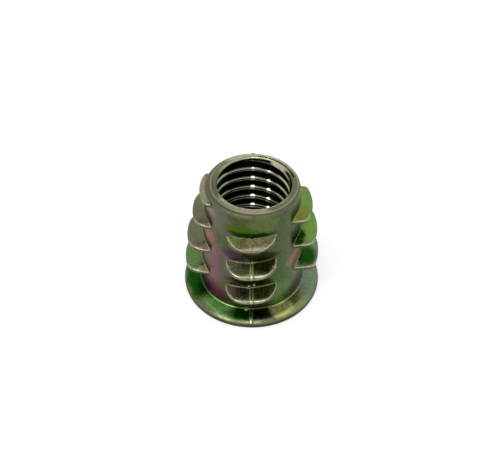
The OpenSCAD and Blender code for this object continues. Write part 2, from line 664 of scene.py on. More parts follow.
@dataclass
class BoltThread:
    """The tap that cuts the right-hand thread from the tip to the socket. Sizes in millimetres."""

    crest_r: float
    top: float
    bottom: float
    root_r: float = 4.0
    pitch: float = 1.25
    crest_round: float = 0.18
    flank_angle: float = 30.0
    first_crest_depth: float = 1.43
    mouth_r: float = 3.42
    lip: float = 0.2
    lip_blend: float = 0.1
    run_out_r: float = 3.98
    run_out_w: float = 0.12
    run_out_depth: float = 0.3
    run_out_from: float = 14.0
    run_out_to: float = 84.0
    lead_in_r: float = 3.67
    lead_in_depth: float = 0.45
    lead_in_low_r: float = 3.3
    lead_in_offset: float = 0.25
    lead_in_angle: float = 50.0
    spare: float = 1.0
    ring_steps: int = 96
    turn_steps: int = 72

    def radius(self, phase: float) -> float:
        """Radius of the thread's surface.

        Args:
            phase: Distance along the axis from the middle of a crest, in pitches from 0 to 1.

        Returns:
            The radius between crest and root.
        """
        from_crest = min(phase, 1 - phase) * self.pitch
        steepness = 1 / math.tan(math.radians(self.flank_angle))
        bend = self.crest_round * steepness
        climb = steepness * (from_crest - bend / 2)
        if from_crest < bend:
            climb = from_crest**2 / (2 * self.crest_round)
        return self.crest_r + min(climb, self.root_r - self.crest_r)

    def build(self) -> bpy.types.Object:
        """Screws the thread's level section along the axis and closes both ends.

        Returns:
            The tap as a closed solid, longer than the bore at both ends.
        """
        bpy.ops.object.select_all(action="DESELECT")
        bpy.ops.mesh.primitive_circle_add(vertices=self.ring_steps, radius=self.crest_r)
        tap = bpy.context.active_object
        tap.name = "tap"
        start = self.bottom - self.spare
        crest_at_back = self.top - self.first_crest_depth
        for vertex in tap.data.vertices:
            turn = (math.atan2(vertex.co.y, vertex.co.x) - math.pi / 2) / math.tau
            phase = ((start - crest_at_back) / self.pitch - turn) % 1
            vertex.co.xy = vertex.co.xy.normalized() * self.radius(phase)
            vertex.co.z = start
        turns = math.ceil((self.top + self.spare - start) / self.pitch)
        apply_modifier(
            tap, "SCREW", axis="Z", angle=math.tau, screw_offset=self.pitch, iterations=turns,
            steps=self.turn_steps, render_steps=self.turn_steps, use_merge_vertices=False,
        )
        for vertex in tap.data.vertices:
            share = min(max((vertex.co.z - self.top + self.lip + self.lip_blend) / self.lip_blend, 0), 1)
            radius = vertex.co.xy.length
            mouth = radius + share * (self.mouth_r - radius)
            vertex.co.xy *= max(mouth, self.lead_in_reach(vertex.co)) / radius
        for height in (start, start + turns * self.pitch):
            cap(tap, height)
        return tap

    def build_run_out(self) -> bpy.types.Object:
        """Turns the narrow groove that the first turn of the thread leaves in the rim.

        Returns:
            The groove as a closed solid that runs along a part of the rim.
        """
        outer_r = self.run_out_r + self.run_out_w
        low, high = self.top - self.run_out_depth, self.top + self.spare
        section = [(self.run_out_r, low), (outer_r, low), (outer_r, high), (self.run_out_r, high)]
        groove = turned("run_out", section)
        for angle, side in ((self.run_out_from, -1), (self.run_out_to, 1)):
            turn = math.radians(angle)
            slice_off(groove, Vector((0, 0, 0)), side * Vector((-math.sin(turn), math.cos(turn), 0)))
        return groove

    def lead_in_reach(self, point: Vector) -> float:
        """Radius of the cone that opens the mouth where the thread starts, set off towards the start.

        Args:
            point: A point of the tap, whose direction and height are used.

        Returns:
            The cone's distance from the axis there, or nothing below the cone.
        """
        share = min((point.z - self.top + self.lead_in_depth) / self.lead_in_depth, 1)
        if share < 0:
            return 0.0
        cone_r = self.lead_in_low_r + share * (self.lead_in_r - self.lead_in_low_r)
        turn = math.radians(self.lead_in_angle)
        towards = Vector((math.cos(turn), math.sin(turn)))
        along = self.lead_in_offset * towards.dot(point.xy.normalized())
        return along + math.sqrt(cone_r**2 - self.lead_in_offset**2 + along**2)


@dataclass
class DriveSocket:
    """The hexagon that a key drives, sunk into the flange. Sizes in millimetres."""

    bore_r: float
    sides: int = 6
    across_flats: float = 8.1
    depth: float = 4.6
    corner_r: float = 0.4
    cone_angle: float = 30.0
    spare: float = 1.0
    corner_steps: int = 5

    @property
    def cone_top(self) -> float:
        """Height at which the guiding cone meets the bore."""
        return self.depth + (self.across_flats / 2 - self.bore_r) * math.tan(math.radians(self.cone_angle))

    def build(self) -> bpy.types.Object:
        """Builds the broach: a hexagon with round corners that runs out below the flange.

        Returns:
            The broach as a closed solid.
        """
        bpy.ops.object.select_all(action="DESELECT")
        height = self.depth + self.spare
        half_side = math.pi / self.sides
        corner = self.across_flats / 2 / math.cos(half_side)
        bpy.ops.mesh.primitive_cylinder_add(vertices=self.sides, radius=corner, depth=height)
        broach = bpy.context.active_object
        broach.name = "broach"
        turn = Matrix.Rotation(half_side, 4, "Z")
        place(broach, Matrix.Translation((0, 0, self.depth - height / 2)) @ turn)
        bpy.ops.object.mode_set(mode="EDIT")
        bpy.ops.mesh.select_all(action="DESELECT")
        bpy.ops.object.mode_set(mode="OBJECT")
        for edge in broach.data.edges:
            ends = [broach.data.vertices[v].co.z for v in edge.vertices]
            edge.select = abs(ends[0] - ends[1]) > self.depth
        bpy.ops.object.mode_set(mode="EDIT")
        run = self.corner_r * math.tan(half_side)
        bpy.ops.mesh.bevel(offset=run, segments=self.corner_steps, affect="EDGES")
        bpy.ops.object.mode_set(mode="OBJECT")
        return broach

    def build_cone(self) -> bpy.types.Object:
        """Turns the cone that guides a bolt from the socket into the bore."""
        inner = self.bore_r - self.spare
        section = [(inner, self.depth - self.spare), (self.across_flats / 2, self.depth - self.spare)]
        section += [(self.across_flats / 2, self.depth), (self.bore_r, self.cone_top), (inner, self.cone_top)]
        return turned("socket_cone", section)


@dataclass(frozen=True)
class Nub:
    """A small rounded nub on the casting, by its place and its radius in millimetres."""

    x: float
    y: float
    z: float
    radius: float


@dataclass
class PartingFlash:
    """The thin raised seam and the nubs that the casting's two dies leave. Sizes in millimetres."""

    barrel: Barrel
    width: float = 0.26
    fin_proud: float = 0.06
    body_proud: float = 0.05
    lift: float = 0.06
    nub_segments: int = 16
    nub_rings: int = 10
    nubs: tuple[Nub, ...] = (
        Nub(-0.24, -5.12, 4.2, 0.13),
        Nub(0.25, -5.1, 4.4, 0.12),
        Nub(-0.47, -5.3, 0.98, 0.16),
        Nub(0.0, -6.8, 0.42, 0.12),
        Nub(0.05, -4.9, 7.5, 0.13),
    )

    def build(self, body: bpy.types.Object, fins: list[bpy.types.Object]) -> list[bpy.types.Object]:
        """Slices a thin slab out of each solid at the front and back, and sets it a little proud.

        Args:
            body: The flanged body.
            fins: The fins that the parting line runs over.

        Returns:
            The seams and nubs as closed solids.
        """
        seams = []
        for side in Side:
            for shell in [body, *fins]:
                proud = self.body_proud if shell is body else self.fin_proud
                seam = copied(shell, f"seam_{side.word}_{shell.name}")
                for edge in (-1, 1):
                    slice_off(seam, Vector((edge * self.width / 2, 0, 0)), Vector((edge, 0, 0)))
                inner = Vector((0, side.value * self.barrel.core_r, 0))
                slice_off(seam, inner, Vector((0, -side.value, 0)))
                if not seam.data.polygons:
                    bpy.data.objects.remove(seam)
                    continue
                place(seam, Matrix.Translation((0, side.value * proud, self.lift)))
                slice_off(seam, Vector((0, 0, self.barrel.length)), Vector((0, 0, 1)))
                outer = Vector((0, side.value * self.barrel.flange_d / 2, 0))
                slice_off(seam, outer, Vector((0, side.value, 0)))
                seams.append(seam)
        return seams + [self.build_nub(spot) for spot in self.nubs]

    def build_nub(self, spot: Nub) -> bpy.types.Object:
        """Adds one small rounded nub.

        Args:
            spot: The nub's place and radius.

        Returns:
            The nub.
        """
        bpy.ops.object.select_all(action="DESELECT")
        bpy.ops.mesh.primitive_uv_sphere_add(
            segments=self.nub_segments, ring_count=self.nub_rings, radius=spot.radius
        )
        nub = bpy.context.active_object
        nub.name = "nub"
        place(nub, Matrix.Translation((spot.x, spot.y, spot.z)))
        return nub


@dataclass
class Casting:
    """The whole insert as one softened casting. Sizes in millimetres."""

    barrel: Barrel
    fins: FinSet
    thread: BoltThread
    socket: DriveSocket
    flash: PartingFlash
    voxel: float = 0.05
    soft_passes: int = 4
    soft_factor: float = 0.5
    mark_passes: int = 12
    triangle_limit: int = 190_000

    def build(self) -> bpy.types.Object:
        """Builds, cuts, blends and softens the casting, and brings it to metres.

        Returns:
            The finished piece, at the origin with its place in its mesh.
        """
        body = self.barrel.build()
        fins = self.fins.build()
        LOG.info("body turned, %d fins built", len(fins))
        seams = self.flash.build(body, [fins[name] for name in self.fins.seamed()])
        cutters = [self.socket.build(), self.socket.build_cone()]
        cutters += [self.thread.build(), self.thread.build_run_out()]
        for cutter in cutters:
            work(body, cutter, Cut.REMOVE)
        LOG.info("socket and thread cut")
        piece = joined([body, *fins.values(), *seams], "insert_casting")
        self.soften(piece)
        place(piece, Matrix.Scale(MM, 4))
        bpy.ops.object.shade_smooth()
        return piece

    def soften(self, piece: bpy.types.Object) -> None:
        """Blends the joined solids into one skin with the soft edges of a casting.

        Args:
            piece: The joined solids.
        """
        apply_modifier(piece, "REMESH", mode="VOXEL", voxel_size=self.voxel)
        apply_modifier(piece, "SMOOTH", factor=self.soft_factor, iterations=self.soft_passes)
        self.mark_edges(piece)
        triangles = 2 * len(piece.data.polygons)
        LOG.info("skin has %d triangles before thinning", triangles)
        if triangles > self.triangle_limit:
            apply_modifier(piece, "DECIMATE", ratio=self.triangle_limit / triangles)

    def mark_edges(self, piece: bpy.types.Object) -> None:
        """Writes how far each point stands out from its softened surroundings, for the worn edges with their
        painted highlights and for the painted sheen in the hollows.

        Args:
            piece: The skin, whose points get the attribute.
        """
        mesh = piece.data
        count = len(mesh.vertices)
        places = np.empty(count * 3)
        mesh.vertices.foreach_get("co", places)
        places = places.reshape(-1, 3)
        normals = np.empty(count * 3)
        mesh.vertices.foreach_get("normal", normals)
        ends = np.empty(len(mesh.edges) * 2, dtype=np.int32)
        mesh.edges.foreach_get("vertices", ends)
        first, second = ends.reshape(-1, 2).T
        neighbours = np.bincount(first, minlength=count) + np.bincount(second, minlength=count)
        soft = places
        for _ in range(self.mark_passes):
            sums = [
                np.bincount(first, soft[second, k], count) + np.bincount(second, soft[first, k], count)
                for k in range(3)
            ]
            soft = np.stack(sums, axis=1) / neighbours[:, None]
        stand_out = ((places - soft) * normals.reshape(-1, 3)).sum(axis=1)
        mark = mesh.attributes.new(EDGE_MARK, "FLOAT", "POINT")
        mark.data.foreach_set("value", stand_out)


@dataclass(frozen=True)
class Patch:
    """A soft-edged patch of the film.

    Its place is in degrees round the axis and millimetres out and up, and its size is out, round and up. Rough
    adds to the roughness, flecks is the share of bright flecks, and dull is the share that isn't metallic.
    """

    angle: float
    radius: float
    height: float
    size: tuple[float, float, float]
    tint: Tint
    facing: Facing = Facing.ANY
    share: float = 1.0
    rough: float = 0.0
    flecks: float = 0.0
    dull: float = 0.0


@dataclass(frozen=True)
class Band:
    """A band of the film that runs all the way round the axis, by its radii and its depths below the rim.

    Its polish is the share of the roughness that it takes off, and a negative one makes it rougher.
    """

    radius: Span
    depth: Span
    tint: Tint
    share: float = 1.0
    blend: float = 0.04
    polish: float = 0.0
    centre: Point = (0.0, 0.0)


@dataclass(frozen=True)
class Noise:
    """A noise pattern, by its lumps to the millimetre and its layers of detail."""

    scale: float
    detail: float


class Palette:
    """Steps for building nodes. Each value is a node's output or a plain number, vector or colour."""

    def __init__(self, owner: bpy.types.Material | bpy.types.World) -> None:
        """Takes the material or world whose nodes are built.

        Args:
            owner: What uses the nodes.
        """
        self.nodes = owner.node_tree.nodes
        self.links = owner.node_tree.links

    def feed(self, socket: Socket, value: Any) -> None:
        """Links an output to a socket, or sets the socket to a plain value.

        Args:
            socket: The input that is fed.
            value: What it takes.
        """
        if isinstance(value, Socket):
            self.links.new(value, socket)
        else:
            socket.default_value = value

    def step(self, operation: str, first: Any, second: Any = 0.0) -> Socket:
        """Works out one step on two numbers.

        Args:
            operation: The step's name.
            first: The first number.
            second: The second number, if the step takes one.

        Returns:
            The result.
        """
        node = self.nodes.new("ShaderNodeMath")
        node.operation = operation
        self.feed(node.inputs[0], first)
        self.feed(node.inputs[1], second)
        return node.outputs[0]

    def times(self, *shares: Any) -> Socket:
        """Multiplies shares, from the first to the last."""
        return reduce(partial(self.step, "MULTIPLY"), shares)

    def rest(self, share: Any) -> Socket:
        """Gives what a share leaves of the whole."""
        return self.step("SUBTRACT", 1.0, share)

    def vector_node(self, operation: str, first: Any, second: Any) -> bpy.types.Node:
        """Adds a node that works out one step on two vectors.

        Args:
            operation: The step's name.
            first: The first vector.
            second: The second vector.

        Returns:
            The node, which has a vector and a number as its outputs.
        """
        node = self.nodes.new("ShaderNodeVectorMath")
        node.operation = operation
        self.feed(node.inputs[0], first)
        self.feed(node.inputs[1], second)
        return node

    def vector(self, operation: str, first: Any, second: Any) -> Socket:
        """Works out a vector from two vectors."""
        return self.vector_node(operation, first, second).outputs["Vector"]

    def number(self, operation: str, first: Any, second: Any = (0.0, 0.0, 0.0)) -> Socket:
        """Works out a number, such as a length or a dot product, from one or two vectors."""
        return self.vector_node(operation, first, second).outputs["Value"]

    def scaled(self, vector: Any, scale: float) -> Socket:
        """Scales a vector."""
        return self.vector("MULTIPLY", vector, (scale, scale, scale))

    def parts(self, vector: Any) -> tuple[Socket, ...]:
        """Splits a vector into X, Y and Z."""
        node = self.nodes.new("ShaderNodeSeparateXYZ")
        self.feed(node.inputs[0], vector)
        return tuple(node.outputs)

    def ramp(self, value: Any, span: Span, result: Span = (0.0, 1.0)) -> Socket:
        """Eases from one result to another while a value crosses a span.

        Args:
            value: The value that is read.
            span: Where the change starts and where it is done.
            result: What is given at the start and at the end.

        Returns:
            The eased number.
        """
        node = self.nodes.new("ShaderNodeMapRange")
        node.interpolation_type = "SMOOTHSTEP"
        self.feed(node.inputs["Value"], value)
        for name, number in zip(("From Min", "From Max", "To Min", "To Max"), (*span, *result)):
            node.inputs[name].default_value = number
        return node.outputs["Result"]

    def mix(self, share: Any, first: Any, second: Any) -> Socket:
        """Mixes two colours.

        Args:
            share: How much of the second colour shows.
            first: The colour below.
            second: The colour that is laid over it.

        Returns:
            The mixed colour.
        """
        node = self.nodes.new("ShaderNodeMix")
        node.data_type = "RGBA"
        for place, value in zip(MIX_INPUTS, (share, first, second)):
            self.feed(node.inputs[place], value)
        return node.outputs[MIX_OUTPUT]

    def noise(self, place: Any, pattern: Noise, output: str = "Fac") -> Socket:
        """Adds a noise pattern.

        Args:
            place: Where the pattern is read, in millimetres.
            pattern: The pattern.
            output: Fac for a number or Color for a vector.

        Returns:
            The noise, whose middle is NOISE_MIDDLE.
        """
        node = self.nodes.new("ShaderNodeTexNoise")
        self.feed(node.inputs["Vector"], place)
        node.inputs["Scale"].default_value = pattern.scale
        node.inputs["Detail"].default_value = pattern.detail
        return node.outputs[output]


@dataclass(frozen=True)
class Surface:
    """What the finish reads from the part: places in millimetres, how it faces and how far it stands out."""

    place: Socket
    wandered: Socket
    upward: Socket
    up: Socket
    stand_out: Socket


@dataclass
class Film:
    """What the steps of the finish have laid so far, and the share of it that no band covers."""

    colour: Socket
    roughness: Socket
    metal: Socket | float = 1.0
    bare: Socket | float = 1.0


@dataclass(frozen=True)
class Chromate:
    """The iridescent chromate film over the zinc, patch by patch, with painted shade and highlights laid into
    it. Lengths in millimetres.
    """

    rim_z: float
    roughness: float = 0.28
    grain: float = 0.06
    grain_noise: Noise = Noise(3.0, 4)
    grain_span: Span = (0.3, 0.7)
    bump_height: float = 0.0025
    bump_noise: Noise = Noise(6.0, 3)
    wander: float = 0.5
    wander_noise: Noise = Noise(0.7, 3)
    softness: float = 0.35
    up_span: Span = (0.45, 0.75)
    up_share: float = 0.6
    mottle_noise: Noise = Noise(1.1, 4)
    mottle_span: Span = (0.35, 0.65)
    behind_span: Span = (-0.5, 2.0)
    bloom: float = 0.6
    bloom_noise: Noise = Noise(0.3, 2)
    bloom_hues: tuple[tuple[Tint, Span], ...] = (
        (Tint.PINK, (0.5, 0.62)),
        (Tint.STRAW, (0.48, 0.38)),
        (Tint.FERN, (0.4, 0.3)),
    )
    fleck_noise: Noise = Noise(5.0, 4)
    fleck_span: Span = (0.5, 0.64)
    shimmer: float = 0.6
    shimmer_noise: Noise = Noise(4.0, 5)
    # Cream along the upper edges that stand out: worn film, and a painted highlight along these edges
    wear: float = 0.85
    wear_noise: Noise = Noise(2.5, 3)
    wear_noise_span: Span = (0.15, 0.5)
    wear_span: Span = (0.006, 0.024)
    wear_ahead_span: Span = (1.1, 2.4)
    wear_up_span: Span = (0.15, 0.45)
    sheen: float = 0.5
    hollow_span: Span = (-0.034, -0.02)
    hollow_beside_span: Span = (2.0, 3.2)
    hollow_ahead_share: float = 0.3
    patches: tuple[Patch, ...] = (
        # The body's wall
        Patch(222, 5.0, 5.8, (1.2, 1.7, 2.4), Tint.PINK, Facing.WALL),
        Patch(232, 4.65, 11.6, (1.2, 2.0, 1.5), Tint.ASH, Facing.WALL),
        Patch(222, 5.2, 2.0, (1.2, 2.2, 1.3), Tint.MAROON, Facing.WALL),
        Patch(238, 5.0, 6.3, (1.2, 1.0, 1.6), Tint.MAUVE, Facing.WALL),
        Patch(261, 4.6, 12.6, (1.2, 1.6, 0.9), Tint.MOSS, Facing.WALL),
        Patch(283, 4.6, 12.1, (1.2, 1.4, 1.0), Tint.OLIVE, Facing.WALL),
        Patch(256, 4.65, 11.4, (1.2, 1.5, 0.6), Tint.LEAF, Facing.WALL),
        # Painted shade on the wall just above the front fins' creases, in deep green, plum and near black
        Patch(268, 4.7, 10.8, (1.2, 2.4, 0.35), Tint.DEEP_GREEN, Facing.WALL),
        Patch(252, 4.85, 8.1, (1.2, 1.2, 0.7), Tint.PLUM, Facing.WALL),
        Patch(280, 4.85, 8.1, (1.2, 1.9, 0.5), Tint.INK, Facing.WALL, 0.9),
        Patch(268, 5.05, 4.75, (1.2, 2.5, 0.45), Tint.INK, Facing.WALL, 0.9),
        Patch(309, 5.0, 5.3, (1.2, 1.4, 1.6), Tint.SEA_GREEN, Facing.WALL),
        Patch(305, 5.15, 2.6, (1.2, 1.5, 1.3), Tint.FERN, Facing.WALL),
        Patch(338, 5.2, 1.9, (1.2, 1.8, 0.9), Tint.RUST, Facing.WALL, 0.9),
        Patch(334, 4.95, 6.0, (1.2, 1.5, 1.1), Tint.ROSE, Facing.WALL, 0.9, rough=0.3),
        # The front fins' crests
        Patch(250, 5.3, 10.2, (1.2, 1.2, 0.7), Tint.HAY, Facing.UP, rough=0.25, flecks=0.25),
        Patch(276, 5.3, 10.3, (1.2, 1.9, 0.7), Tint.GOLD, Facing.UP, rough=0.25, flecks=0.22),
        # Painted highlights along the front fins' crests, with bright flecks
        Patch(270, 5.8, 10.0, (0.4, 2.4, 0.7), Tint.CREAM, Facing.UP, 0.55),
        Patch(270, 6.4, 6.7, (0.4, 2.6, 0.7), Tint.KHAKI, Facing.UP, 0.5, flecks=0.3),
        Patch(270, 6.6, 3.6, (0.45, 2.8, 0.7), Tint.KHAKI, Facing.UP, 0.6, flecks=0.3),
        # Painted shade on the front fins' upright lands
        Patch(270, 6.6, 6.5, (0.95, 3.0, 5.5), Tint.LAND, Facing.WALL),
        # The wall beside the left fins
        Patch(208, 4.75, 8.6, (0.5, 1.1, 1.1), Tint.ROSEWOOD, Facing.WALL, rough=0.3),
        Patch(208, 4.9, 5.4, (0.5, 1.0, 1.1), Tint.CHESTNUT, Facing.WALL, rough=0.3),
        Patch(208, 4.65, 11.5, (0.5, 1.0, 0.9), Tint.CHESTNUT, Facing.WALL, 0.7),
        # The lower front fins' upper faces
        Patch(254, 5.3, 7.3, (0.9, 1.3, 0.7), Tint.DRAB, Facing.UP, 0.8, flecks=0.3),
        Patch(285, 5.2, 7.3, (0.8, 1.5, 0.7), Tint.UMBER, Facing.UP),
        Patch(252, 5.5, 4.0, (0.9, 1.3, 0.7), Tint.TAUPE, Facing.UP, 0.7),
        Patch(285, 5.4, 4.0, (0.8, 1.5, 0.7), Tint.BRONZE, Facing.UP),
        # The right fins
        Patch(2, 5.2, 11.1, (1.4, 2.0, 0.8), Tint.BRIGHT_GREEN, Facing.UP),
        Patch(335, 5.0, 11.0, (1.4, 1.3, 0.8), Tint.STRAW, Facing.UP),
        Patch(355, 6.0, 7.9, (1.0, 2.4, 0.8), Tint.BRIGHT_GREEN, Facing.UP),
        Patch(336, 5.1, 8.0, (0.5, 1.1, 0.8), Tint.DEEP_GREEN, Facing.UP),
        Patch(2, 6.1, 4.7, (1.0, 1.8, 0.8), Tint.STEEL, Facing.UP),
        Patch(345, 5.6, 4.8, (1.0, 1.4, 0.8), Tint.BOTTLE, Facing.UP),
        # The leading fin and the left fins
        Patch(185, 4.8, 12.8, (0.5, 2.4, 0.6), Tint.KHAKI, Facing.UP),
        Patch(207, 5.2, 10.1, (1.2, 0.8, 0.8), Tint.TAUPE),
        Patch(207, 5.5, 7.0, (1.2, 0.9, 0.8), Tint.TAUPE),
        Patch(207, 5.9, 3.8, (1.2, 0.9, 0.8), Tint.TAUPE),
        Patch(190, 6.2, 3.8, (1.0, 1.8, 0.8), Tint.EMERALD, Facing.UP, 0.6),
        # The flange
        Patch(194, 5.9, 0.9, (1.3, 2.6, 0.5), Tint.BOTTLE, Facing.UP),
        Patch(235, 5.65, 0.9, (0.75, 1.9, 0.5), Tint.JADE, Facing.UP),
        Patch(265, 5.8, 0.9, (0.9, 1.6, 0.5), Tint.FOREST, Facing.UP),
        Patch(281, 5.75, 0.9, (0.8, 1.0, 0.5), Tint.UMBER, Facing.UP),
        Patch(322, 6.2, 0.85, (1.3, 1.8, 0.5), Tint.OCHRE, Facing.UP),
        Patch(302, 5.9, 0.85, (0.8, 1.2, 0.5), Tint.BRASS, Facing.UP, flecks=0.4),
        Patch(347, 6.2, 0.85, (1.3, 2.2, 0.5), Tint.STEEL, Facing.UP),
        # The side fins' cutting edges, with painted shade on their upright lands
        Patch(183, 6.3, 8.0, (0.8, 2.2, 9.0), Tint.EDGE, Facing.WALL),
        Patch(-3, 6.3, 8.0, (0.8, 2.2, 9.0), Tint.EDGE, Facing.WALL),
        # The rim
        Patch(270, 4.0, 13.2, (0.8, 2.2, 0.4), Tint.CREAM, Facing.UP, 0.5),
        Patch(195, 4.0, 13.2, (0.8, 2.2, 0.4), Tint.ASH, Facing.UP, 0.6),
        Patch(95, 4.0, 13.2, (0.9, 2.8, 0.4), Tint.BRIGHT_SILVER, Facing.UP),
    )
    bands: tuple[Band, ...] = (
        # Painted shade on the rim's rounded shoulder, and a painted highlight along the rim's outer edge
        Band((4.25, 4.75), (-0.2, 0.3), Tint.SHADE, polish=-0.9, centre=(0.13, 0.1)),
        Band((4.13, 4.23), (-0.2, 0.12), Tint.CREAM, 0.6, centre=(0.13, 0.1)),
        # Painted shade on the flange's outer edge
        Band((6.84, 7.1), (12.5, 13.4), Tint.EDGE),
        # Painted shade all over the bore, then the thread's pale crests
        Band((0.0, 4.05), (0.12, 14.0), Tint.BLACK),
        Band((0.0, 3.6), (0.3, 14.0), Tint.PALE_SAGE, blend=0.08, polish=0.6),
    )
    flank_band: Band = Band((0.0, 3.68), (0.3, 14.0), Tint.FLANK)
    flanks: tuple[Patch, ...] = (
        Patch(47, 3.65, 13.0, (0.35, 0.9, 0.25), Tint.BLUSH),
        # Painted light on the thread's flanks at the left and right, made dull like bare zinc
        Patch(158, 3.6, 10.0, (0.5, 1.9, 3.2), Tint.FLANK, Facing.UP, dull=0.9),
        Patch(24, 3.6, 10.0, (0.5, 1.9, 3.2), Tint.FLANK, Facing.UP, dull=0.9),
        # Painted highlights where the lamps glint on the thread's crests
        Patch(90, 3.35, 8.0, (0.35, 0.28, 5.0), Tint.GLINT),
        Patch(64, 3.35, 8.0, (0.35, 0.24, 5.0), Tint.GLINT),
    )

    def material(self) -> bpy.types.Material:
        """Builds the finish as a node material, one layer over the other.

        Returns:
            The material.
        """
        material = bpy.data.materials.new("iridescent_chromate")
        material.use_nodes = True
        palette = Palette(material)
        surface = self.surface(palette)
        film = self.ground(palette, surface)
        layers = (
            self.lay_patches, self.lay_shimmer, self.lay_bands,
            self.lay_flanks, self.lay_wear, self.lay_sheen,
        )
        for lay in layers:
            lay(palette, surface, film)
        shader = palette.nodes["Principled BSDF"]
        palette.feed(shader.inputs["Base Color"], film.colour)
        palette.feed(shader.inputs["Roughness"], film.roughness)
        palette.feed(shader.inputs["Metallic"], film.metal)
        bump = palette.nodes.new("ShaderNodeBump")
        bump.inputs["Distance"].default_value = self.bump_height * MM
        palette.feed(bump.inputs["Height"], palette.noise(surface.place, self.bump_noise))
        palette.feed(shader.inputs["Normal"], bump.outputs["Normal"])
        return material

    def surface(self, palette: Palette) -> Surface:
        """Reads the part's places, facing and edges.

        Args:
            palette: The material's nodes.

        Returns:
            What the layers read.
        """
        coordinates = palette.nodes.new("ShaderNodeTexCoord")
        place_mm = palette.scaled(coordinates.outputs["Object"], 1 / MM)
        cloud = palette.noise(place_mm, self.wander_noise, "Color")
        shift = palette.vector("SUBTRACT", cloud, (NOISE_MIDDLE, NOISE_MIDDLE, NOISE_MIDDLE))
        wander = palette.scaled(shift, self.wander / NOISE_MIDDLE)
        upward = palette.parts(coordinates.outputs["Normal"])[2]
        stand_out = palette.nodes.new("ShaderNodeAttribute")
        stand_out.attribute_name = EDGE_MARK
        return Surface(
            place=place_mm,
            wandered=palette.vector("ADD", place_mm, wander),
            upward=upward,
            up=palette.ramp(upward, self.up_span),
            stand_out=stand_out.outputs["Fac"],
        )

    def ground(self, palette: Palette, surface: Surface) -> Film:
        """Lays the mottled film that shows between the patches, with broad soft hues on the far side.

        Args:
            palette: The material's nodes.
            surface: What is read from the part.

        Returns:
            The film before the patches.
        """
        mottle = palette.ramp(palette.noise(surface.place, self.mottle_noise), self.mottle_span)
        colour = palette.mix(mottle, Tint.SAGE.rgba, Tint.MOSS.rgba)
        colour = palette.mix(palette.times(surface.up, self.up_share), colour, Tint.PEWTER.rgba)
        _, y, _ = palette.parts(surface.place)
        behind = palette.ramp(y, self.behind_span)
        bloom = palette.noise(surface.place, self.bloom_noise)
        for tint, span in self.bloom_hues:
            share = palette.times(behind, palette.ramp(bloom, span, (0.0, self.bloom)))
            colour = palette.mix(share, colour, tint.rgba)
        speckle = palette.noise(surface.place, self.grain_noise)
        limits = (self.roughness - self.grain, self.roughness + self.grain)
        return Film(colour, palette.ramp(speckle, self.grain_span, limits))

    def lay_patches(self, palette: Palette, surface: Surface, film: Film) -> None:
        """Lays the patches, some of them rougher or flecked.

        Args:
            palette: The material's nodes.
            surface: What is read from the part.
            film: The film so far, which is changed.
        """
        specks = palette.ramp(palette.noise(surface.place, self.fleck_noise), self.fleck_span)
        wall = palette.rest(surface.up)
        for patch in self.patches:
            mask = self.mask(palette, patch, surface.wandered)
            if patch.facing is not Facing.ANY:
                mask = palette.times(mask, surface.up if patch.facing is Facing.UP else wall)
            film.colour = palette.mix(mask, film.colour, patch.tint.rgba)
            if patch.rough:
                film.roughness = palette.step("ADD", film.roughness, palette.times(mask, patch.rough))
            if patch.flecks:
                bright = palette.times(mask, specks, patch.flecks)
                film.colour = palette.mix(bright, film.colour, Tint.CREAM.rgba)

    def lay_shimmer(self, palette: Palette, surface: Surface, film: Film) -> None:
        """Breaks the film up with a fine play of hues.

        Args:
            palette: The material's nodes.
            surface: What is read from the part.
            film: The film so far, which is changed.
        """
        fine = palette.scaled(palette.noise(surface.place, self.shimmer_noise, "Color"), 1 / NOISE_MIDDLE)
        film.colour = palette.mix(self.shimmer, film.colour, palette.vector("MULTIPLY", film.colour, fine))

    def lay_bands(self, palette: Palette, surface: Surface, film: Film) -> None:
        """Lays the bands round the axis: painted shade on the rim's shoulder and a painted highlight along its
        edge, painted shade on the flange's edge and all over the bore, and the thread's pale crests.

        Args:
            palette: The material's nodes.
            surface: What is read from the part.
            film: The film so far, which is changed.
        """
        for band in self.bands:
            mask = self.ring(palette, band, surface.place)
            film.colour = palette.mix(mask, film.colour, band.tint.rgba)
            film.bare = palette.times(film.bare, palette.rest(mask))
            if band.polish:
                film.roughness = palette.times(film.roughness, palette.rest(palette.times(mask, band.polish)))

    def lay_flanks(self, palette: Palette, surface: Surface, film: Film) -> None:
        """Lays the bright places on the thread: the pale start of its flank, painted light on the flanks at
        the left and right, which are dull like bare zinc, and painted highlights where the lamps glint on the
        crests.

        Args:
            palette: The material's nodes.
            surface: What is read from the part.
            film: The film so far, which is changed.
        """
        crest = self.ring(palette, self.flank_band, surface.place)
        for flank in self.flanks:
            mask = self.mask(palette, flank, surface.place)
            if flank.facing is Facing.UP:
                mask = palette.times(mask, surface.up, crest)
            film.colour = palette.mix(mask, film.colour, flank.tint.rgba)
            if flank.dull:
                film.metal = palette.step("SUBTRACT", film.metal, palette.times(mask, flank.dull))

    def lay_wear(self, palette: Palette, surface: Surface, film: Film) -> None:
        """Wears the film off the upper edges that stand out, away from the part's left and right, in a cream
        that also paints a highlight along these edges.

        Args:
            palette: The material's nodes.
            surface: What is read from the part.
            film: The film so far, which is changed.
        """
        _, y, _ = palette.parts(surface.place)
        worn_and_lit = palette.ramp(surface.stand_out, self.wear_span, (0.0, self.wear))
        flecks = palette.ramp(palette.noise(surface.place, self.wear_noise), self.wear_noise_span)
        ahead = palette.ramp(palette.step("ABSOLUTE", y), self.wear_ahead_span)
        upper = palette.ramp(surface.upward, self.wear_up_span)
        share = palette.times(worn_and_lit, flecks, film.bare, ahead, upper)
        film.colour = palette.mix(share, film.colour, Tint.CREAM.rgba)

